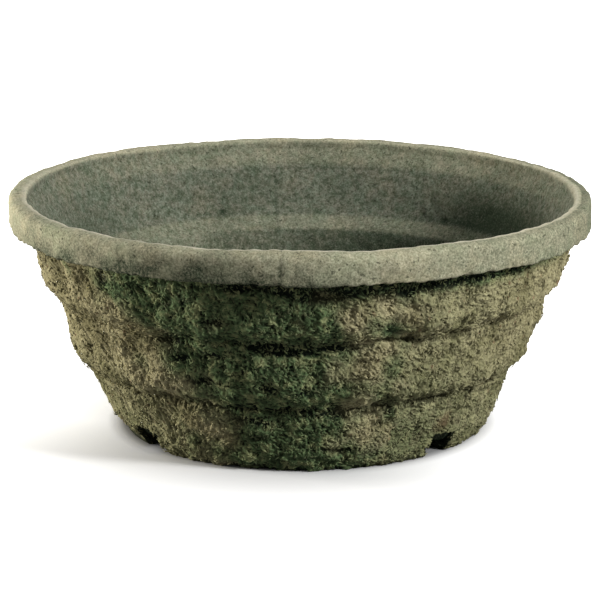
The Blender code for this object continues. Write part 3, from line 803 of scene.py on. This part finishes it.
@cache
def skin():
    """Return the bowl's line, its back, and fields of its points, normals and colours, worked out once."""
    line, joint = bowl()
    azimuth = turns(SKIN_COLUMNS)
    radius, level = line[:, :1] / MM, line[:, 1:] / MM
    relief, cloud = felt_fields(line, SKIN_COLUMNS, np.random.default_rng(21))
    seam = bell(np.radians(turn_from(azimuth, INNER_SEAM_TURN)) * radius, 0, 1.1) * (level > INNER_SEAM_FOOT)
    relief = relief - 0.5 * MM * seam
    marks = 0.45 * seam
    for degrees, middle, half_width, depth in DIMPLES:
        across = np.radians(turn_from(azimuth, degrees)) * radius
        mark = depth * np.exp(-0.5 * (across ** 2 + (level - middle) ** 2) / half_width ** 2)
        relief = relief - MM * mark
        marks = marks + 0.55 * mark
    # Towards the floor's middle the columns run together, so the noise fades there, and so does the relief where the
    # rim and the skin share an edge.
    spread = np.clip(radius / FADE_RADIUS, 0, 1) ** 1.5
    relief = relief * spread * np.clip(np.abs(level - level[joint]) / 2.5, 0, 1)
    # Below the upper ledge it is painted dark as shade, less so further down and at the left, and the ledge is painted
    # paler than its wall, as the light that it catches.
    low = ramp(level, 104, 101.5) * (1 - 0.4 * ramp(level, 70, 30)) * (1 - 0.85 * sector(azimuth, -142, 21))
    damp_and_shade = np.clip(0.60 * low + patches(azimuth, level, INNER_DARK_PATCHES) + 0.11 * cloud * spread + marks, 0, 0.92)
    inside = 1 - 0.32 * ramp(level, 113, 111) * (1 - low)
    outward = line_normals(line)
    points = on_circle(*raised(line, -outward, relief), azimuth)
    normals = -grid_normals(points)
    normals[joint] = joint_normals(SKIN_COLUMNS)
    back = line + outward * SKIN_THICKNESS * MM
    back[joint, 1] = line[joint, 1]
    return {"line": line, "back": back, "points": points, "damp_and_shade": damp_and_shade, "inside": inside, "normals": normals}


def floor_row():
    """Return the row of the bowl line nearest to the floor's edge."""
    line = bowl()[0]
    flat = np.nonzero(line[:, 1] < 10.5 * MM)[0]
    return flat[np.abs(line[flat, 0] - FLOOR_RADIUS * MM).argmin()]


def make_wall(node, first, last):
    """Make a wall as a tube: down its back on four rows and up its front on all rows of the felt."""
    data = skin()
    picks = np.linspace(first, last, 4).astype(int)
    front = slice(first, last + 1)
    back = round_axis(data["back"][picks], turns(SKIN_COLUMNS))
    points = np.vstack([back, data["points"][front][::-1]])
    normals = np.vstack([-data["normals"][picks], data["normals"][front][::-1]])
    plain = np.ones(back.shape[:2])
    fields = {name: np.vstack([plain, data[name][front][::-1]]) for name in ("damp_and_shade", "inside")}
    new_piece(node + "_felt", points, tube_faces(len(points), SKIN_COLUMNS, True), SMOOTH_SLOT, [node], fields,
              normals=normals)


def make_corner(first, last):
    """Make the corner as a shell with its back on a line a skin's thickness away, less the drain holes' cells.

    Each hole takes the cells whose middle lies within half its width of the hole's middle and between the
    floor and its top.
    """
    rows = np.linspace(first, last, (last - first) * 2 + 1)
    front, line, back, damp_and_shade = (at_rows(skin()[name], rows) for name in ("points", "line", "back", "damp_and_shade"))
    layers, azimuth = CORNER_LAYERS, turns(SKIN_COLUMNS)
    # The back is the outside, so it comes first.
    depth = np.linspace(0, 1, layers)[:, None, None]
    points = round_axis(back, azimuth) * (1 - depth[..., None]) + front * depth[..., None]
    # Seen from outside through a notch it is painted dark, as shade.
    damp_and_shade = np.maximum(damp_and_shade, 0.3) * depth + 1 - depth
    middle = (line[1:] + line[:-1]) / 2
    keep = np.ones((len(rows) - 1, SKIN_COLUMNS), bool)
    for turn in NOTCH_TURNS:
        across = np.radians(turn_from(azimuth + math.pi / SKIN_COLUMNS, turn)) * middle[:, :1]
        keep &= ~((np.abs(across) < DRAIN_HALF_WIDTH * MM) & (middle[:, 1:] < DRAIN_TOP * MM))
    keep[-1] = True
    new_piece("floor_corner_felt", points, shell_faces(layers, keep, True), SMOOTH_SLOT, ["floor_corner"],
              {"damp_and_shade": damp_and_shade, "inside": np.ones(damp_and_shade.shape)}, (0, 2))


class PLANTER_OT_skin(Operator):
    """Build the smooth inside: upright walls, sloping ledges, and the corner with its drain holes"""

    bl_idname = "planter.skin"
    bl_label = "Smooth inside"

    def execute(self, context):
        rows = [row_at(bowl()[0], level) for level in WALL_LEVELS]
        for node, first, last in zip(WALL_NODES, rows, rows[1:]):
            make_wall(node, first, last)
        make_corner(rows[-1], floor_row())
        return {"FINISHED"}


class PLANTER_OT_floor(Operator):
    """Build the flat floor"""

    bl_idname = "planter.floor"
    bl_label = "Floor"

    def execute(self, context):
        first = floor_row()
        top, damp_and_shade, normals = (skin()[name][first:, ::2] for name in ("points", "damp_and_shade", "normals"))
        columns = top.shape[1]
        under = on_circle(np.array([[40], [80], [FLOOR_RADIUS]]) * MM, FLOOR_UNDERSIDE * MM, turns(columns))
        # Rows run from near the underside's middle out to its edge, up and in to near the top's middle. The two
        # middles are the last points.
        grid = np.vstack([under, top[:-1]])
        centres = [[0, 0, FLOOR_UNDERSIDE * MM], [0, 0, top[-1, :, 2].mean()]]
        points = np.vstack([grid.reshape(-1, 3), centres])
        quads = tube_faces(len(grid), columns, True)[0][:-columns, [0, 3, 2, 1]]
        column = np.arange(columns)
        beside = (column + 1) % columns
        last = (len(grid) - 1) * columns
        crown = np.stack([last + column, last + beside, np.full(columns, len(points) - 1)], axis=1)
        base = np.stack([np.full(columns, len(points) - 2), beside, column], axis=1)
        damp_and_shade = np.hstack([np.ones(under.size // 3), damp_and_shade[:-1].ravel(), [1.0, 0.6]])
        down = np.broadcast_to([0.0, 0.0, -1.0], (under.size // 3, 3))
        normals = np.vstack([down, normals[:-1].reshape(-1, 3), [[0, 0, -1], [0, 0, 1]]])
        new_piece("floor_felt", points, [quads, crown, base], SMOOTH_SLOT, ["floor"],
                  {"damp_and_shade": damp_and_shade, "inside": np.ones(damp_and_shade.shape)}, normals=normals)
        return {"FINISHED"}


class PLANTER_OT_rim(Operator):
    """Build the rolled rim"""

    bl_idname = "planter.rim"
    bl_label = "Rolled rim"

    columns: IntProperty(name="Columns", description="Points round the rim", default=1080, min=64)

    def execute(self, context):
        # The inner side is the skin's own line from their shared edge up.
        inner, joint = bowl()
        line = np.vstack([inner[joint:0:-1], rounded_line(RIM_LINE, RIM_STEP)])
        relief, cloud = felt_fields(line, self.columns, np.random.default_rng(31))
        rng = np.random.default_rng(32)
        azimuth = turns(self.columns)
        radius, level = line[:, :1] / MM, line[:, 1:] / MM
        outside = radius > RIM_OUTSIDE
        seam = np.radians(turn_from(azimuth, RIM_SEAM_TURN)) * radius
        cell = (RIM_STEP, math.tau * RIM_RADIUS / self.columns)
        ragged = soft_noise(rng, relief.shape, cell, 1.6 * MM) * bell(level, 145, 1.6) * outside
        # The inner end keeps its place, because the wall below starts there.
        free = np.clip((np.arange(len(line))[:, None] - 1) / 10, 0, 1)
        relief = free * (1.3 * relief - 0.4 * MM * bell(seam, 0, 0.8) + 0.45 * MM * ragged)
        slow, slower = (soft_noise(rng, (1, self.columns), (1.0, cell[1]), reach * MM) for reach in (28, 60))
        sway = free * (0.35 * slow + 0.45 * slower) * MM
        bent = np.interp(np.degrees(azimuth), *zip(*RIM_RISES), period=360)
        rise = free * (0.22 * np.roll(slow, 300) + 0.35 * np.roll(slower, 500) + bent) * MM
        out, up = raised(line, line_normals(line), relief)
        points = on_circle(out + sway, up + rise, azimuth)
        shading = grid_normals(points)
        shading[0] = joint_normals(self.columns)
        mottle = soft_noise(rng, relief.shape, cell, 3.2 * MM)
        # It is darker and greener low on its outside, most where the front zone meets it, painted darker on the right
        # as shade, and dark in the seam.
        damp_and_shade = (0.95 * ramp(level, 160, 144) * outside + 0.24) * (1 + 0.25 * mottle) * (
            sector(azimuth, -30, 25) + 0.4 * sector(azimuth, 160, 30))
        painted_shade_right = (0.62 * sector(azimuth, 92, 34) + 0.2 * sector(azimuth, 45, 14)) * outside
        crack = 0.5 * bell(seam, 0, 0.7) * np.clip((161 - level) / 6, 0.15, 1) * outside
        damp_and_shade = np.clip(damp_and_shade + painted_shade_right + crack + 0.05 * cloud + 0.025 * mottle, 0, 0.8)
        # On the far side the rim's own inner face is paler than the wall under it.
        inside = ramp(radius, 191, 190.2) * (1 - 0.45 * ramp(level, 145.5, 149.5) * sector(azimuth, 165, 45))
        # A pale line along the rim's inner edge, strongest in front, is a painted highlight.
        wear_and_painted_light = 0.8 * bell(radius, 192.6, 1.3) * (level > 160) * (0.1 + 0.9 * sector(azimuth, 0, 60))
        new_piece("rolled_rim", points, tube_faces(len(points), self.columns, True), SMOOTH_SLOT, ["rim"],
                  {"damp_and_shade": damp_and_shade, "inside": inside, "wear_and_painted_light": wear_and_painted_light}, normals=shading)
        return {"FINISHED"}


# Points of a sliver, by share of its length, half width and half thickness: a tip, two triangles and a tip.
SLIVER = np.array([(-0.5, 0, 0), (-0.2, -1, -0.5), (-0.2, 0, 1), (-0.2, 1, -0.5),
                   (0.22, -0.85, -0.5), (0.22, 0, 0.9), (0.22, 0.85, -0.5), (0.5, 0, 0)])
SLIVER_TIPS = np.array([(0, 1, 2), (0, 2, 3), (0, 3, 1), (7, 5, 4), (7, 6, 5), (7, 4, 6)])
SLIVER_SIDES = np.array([(1, 4, 5, 2), (2, 5, 6, 3), (3, 6, 4, 1)])


def strew(name, coat_name, first, rng):
    """Lay slivers on a coat. A sliver is a bent, tapered rod with a diamond section, laid at a random turn.

    With t its unit direction on the surface, n the surface's normal and b across both, a point at p along it
    lies at p t + (width + curve p^2) b + (thickness - bend p^2 + tilt p) n from its place.
    """
    sizes = bpy.context.scene.planter_sizes
    source = coat(coat_name)
    last = len(source.line) - 5
    area = (last - first) * COAT_STEP * math.tau * source.line[first:last, 0].mean()
    count = int(sizes.sliver_count * area * 100)
    row = rng.integers(first, last, count)
    column = rng.integers(0, COAT_COLUMNS, count)
    if coat_name == "lower":
        # None lies over a notch or reaches the ground.
        radius, height = source.line[row].T
        away = np.min([np.abs(turn_from(turns(COAT_COLUMNS)[column], turn)) for turn in NOTCH_TURNS], axis=0)
        near = np.radians(away) * radius < (NOTCH_HALF_WIDTH + 0.6) * MM
        clear = ~(near & (height < (NOTCH_TOP + 0.4) * MM)) & (height > 2.5 * MM)
        row, column = row[clear], column[clear]
        count = len(row)
    azimuth = turns(COAT_COLUMNS)[column]
    relief, lumps, hollow_shade, damp_and_shade = (field[row, column][:, None] for field in (
        source.relief, source.lumps, source.hollow_shade, source.damp_and_shade))
    turn, lift, span, width, thickness, bend, curve, tilt, tone = (
        rng.uniform(*ends, count)[:, None] for ends in SLIVER_RANGES)
    normal = on_circle(*source.normals[row].T, azimuth)
    level = np.stack([np.cos(azimuth), np.sin(azimuth), 0 * azimuth], axis=1)
    along = np.cos(turn) * level + np.sin(turn) * np.cross(normal, level)
    across = np.cross(normal, along)
    centre = on_circle(*source.line[row].T, azimuth) + normal * (relief + lumps + lift * MM)
    width = width * MM
    p = SLIVER[:, 0] * (sizes.sliver_length * span)
    q = SLIVER[:, 1] * width + curve * p ** 2
    r = SLIVER[:, 2] * (width * thickness) - bend * p ** 2 + tilt * p
    points = sum((share[..., None] * axis[:, None] for share, axis in ((p, along), (q, across), (r, normal))),
                 centre[:, None])
    points[..., 2] = np.maximum(points[..., 2], 0.2 * MM)
    shift = (np.arange(count) * len(SLIVER))[:, None, None]
    faces = [(part + shift).reshape(-1, part.shape[1]) for part in (SLIVER_TIPS, SLIVER_SIDES)]
    # A sliver takes half the painted shade of the hollow under it, and a dark sliver is darker in its own tone.
    shade = np.clip(hollow_shade * 0.5 - 0.1 + 0.45 * (tone < SLIVER_DARK), 0, 1)
    fields = {"hollow_shade": shade + 0 * p, "damp_and_shade": 0.85 * damp_and_shade + 0 * p}
    new_piece(name, points, faces, ROUGH_SLOT, [], fields)


class PLANTER_OT_slivers(Operator):
    """Strew loose slivers of pulp over the rough outside"""

    bl_idname = "planter.slivers"
    bl_label = "Loose slivers"

    def execute(self, context):
        for name, coat_name, first, seed in (("upper_tier_slivers", "upper", 10, 51),
                                             ("middle_tier_slivers", "middle", 10, 52),
                                             ("foot_slivers", "lower", 8, 53)):
            strew(name, coat_name, first, np.random.default_rng(seed))
        return {"FINISHED"}


def put(obj, azimuth, elevation, distance, target):
    """Put a lamp or camera at a distance from a point on the axis, and turn it so that it looks at that point."""
    azimuth, elevation = math.radians(azimuth), math.radians(elevation)
    level = distance * math.cos(elevation)
    obj.location = (level * math.sin(azimuth), -level * math.cos(azimuth), target + distance * math.sin(elevation))
    obj.rotation_euler = (Vector((0, 0, target)) - obj.location).to_track_quat("-Z", "Y").to_euler()


def make_lamp(name, azimuth, elevation, size, share, shade):
    """Place a square soft lamp. A lamp of pi squared times the distance squared, in watts, lights a white face
    that looks at it to white."""
    data = bpy.data.lights.new(name, "AREA")
    data.shape = "SQUARE"
    data.size = size
    data.color = linear(shade)
    data.energy = share * (math.pi * LAMP_DISTANCE) ** 2
    put(add_object(name, data), azimuth, elevation, LAMP_DISTANCE, LAMP_TARGET)


def make_floor():
    """Lay a wide painted floor that keeps the planter's shadow. For the camera alone its paint is pale and it
    glows, from a little beside the planter to white further out, where the lamps no longer reach. Close to the foot
    and in front and to the left the glow is weaker, which paints a soft shadow there. Under the planter its paint is
    dark, a painted shadow, so that the notches and drain holes are dark."""
    mesh = bpy.data.meshes.new("studio_floor")
    reach = 12.0
    mesh.from_pydata([(-reach, -reach, 0), (reach, -reach, 0), (reach, reach, 0), (-reach, reach, 0)], [],
                     [(0, 1, 2, 3)])
    material = bpy.data.materials.new("painted_studio_floor_matt")
    node = emptied(material)
    camera_ray = node("LightPath").outputs["Is Camera Ray"]
    place = node("TexCoord").outputs["Object"]
    away = node("VectorMath", {0: place}, operation="LENGTH")
    # The glow is weaker in front and to the left, which paints a soft shadow there.
    across = node("VectorMath", {0: place, 1: (0.35, 1.0, 0.0)}, operation="DOT_PRODUCT")
    under, mouths, outward, behind = (
        node("MapRange", dict(zip(RANGE_INPUTS, row))) for row in (
            (away, 0.126, 0.138, 0, 1), (away, 0.122, 0.131, 0, 1), (away, 0.128, 0.25, 0.10, 1),
            (across, -0.14, -0.06, -0.06, 0.36)))
    pale = node("Math", {0: camera_ray, 1: mouths}, operation="MULTIPLY")
    tone = node("Mix", {"Factor": pale, 6: rgba([0.30] * 3), 7: rgba([0.90] * 3)}, data_type="RGBA")
    paint = node("BsdfDiffuse", {"Color": tone})
    both = node("Math", {0: outward, 1: behind}, operation="ADD")
    strength = node("Math", {0: both, 1: under}, operation="MULTIPLY")
    glow = node("Emission", {"Color": "ffffff", "Strength": strength})
    dark = node("Emission", {"Color": "000000", "Strength": 0.0})
    seen = node("MixShader", {"Fac": camera_ray, 1: dark, 2: glow})
    total = node("AddShader", {0: paint, 1: seen})
    node("OutputMaterial", {"Surface": total})
    mesh.materials.append(material)
    floor = add_object("studio_floor", mesh)


class PLANTER_OT_stage(Operator):
    """Set up the pale floor, the soft lamps and the camera"""

    bl_idname = "planter.stage"
    bl_label = "Stage"

    def execute(self, context):
        data = bpy.data.cameras.new("camera")
        data.lens = LENS
        data.sensor_width = SENSOR
        data.shift_x, data.shift_y = (pixels / PICTURE_WIDTH for pixels in SHIFT)
        context.scene.camera = add_object("camera", data)
        put(context.scene.camera, 0, CAMERA_ELEVATION, CAMERA_DISTANCE, CAMERA_TARGET)
        make_floor()
        for name, lamp in LAMPS.items():
            make_lamp(name, *lamp)
        world = context.scene.world or bpy.data.worlds.new("world")
        context.scene.world = world
        node = emptied(world)
        path = node("LightPath").outputs
        seen = node("Math", {0: path["Is Camera Ray"], 1: path["Is Glossy Ray"]}, operation="MAXIMUM")
        seen = node("Math", {0: seen, 1: path["Is Transmission Ray"]}, operation="MAXIMUM")
        light = node("Mix", {"Factor": seen, 2: WORLD_STRENGTH, 3: 1.0}, data_type="FLOAT")
        background = node("Background", {"Color": "ffffff", "Strength": light})
        node("OutputWorld", {"Surface": background})
        context.scene.view_settings.view_transform = "Standard"
        return {"FINISHED"}


class PLANTER_PT_panel(Panel):
    """Planter's pieces, sizes and colours"""

    bl_idname = "PLANTER_PT_panel"
    bl_label = "Round patio planter"
    bl_space_type = "VIEW_3D"
    bl_region_type = "UI"
    bl_category = "Planter"

    def draw(self, context):
        for operator in OPERATORS:
            self.layout.operator(operator.bl_idname)
        for group in (context.scene.planter_sizes, context.scene.planter_colours):
            for name in group.bl_rna.properties.keys():
                if name not in ("rna_type", "name"):
                    self.layout.prop(group, name)


OPERATORS = (PLANTER_OT_stage, PLANTER_OT_rim, PLANTER_OT_skin, PLANTER_OT_floor, PLANTER_OT_tiers, PLANTER_OT_foot,
             PLANTER_OT_slivers)
CLASSES = (PulpSizes, PulpColours, *OPERATORS, PLANTER_PT_panel)


def register():
    for cls in CLASSES:
        bpy.utils.register_class(cls)
    bpy.types.Scene.planter_sizes = PointerProperty(type=PulpSizes)
    bpy.types.Scene.planter_colours = PointerProperty(type=PulpColours)


def unregister():
    del bpy.types.Scene.planter_colours
    del bpy.types.Scene.planter_sizes
    for cls in reversed(CLASSES):
        bpy.utils.unregister_class(cls)


def main():
    """Build the whole scene."""
    register()
    bpy.ops.planter.stage()
    bpy.ops.planter.rim()
    bpy.ops.planter.skin()
    bpy.ops.planter.floor()
    bpy.ops.planter.tiers()
    bpy.ops.planter.foot()
    bpy.ops.planter.slivers()


if __name__ == "__main__":
    main()
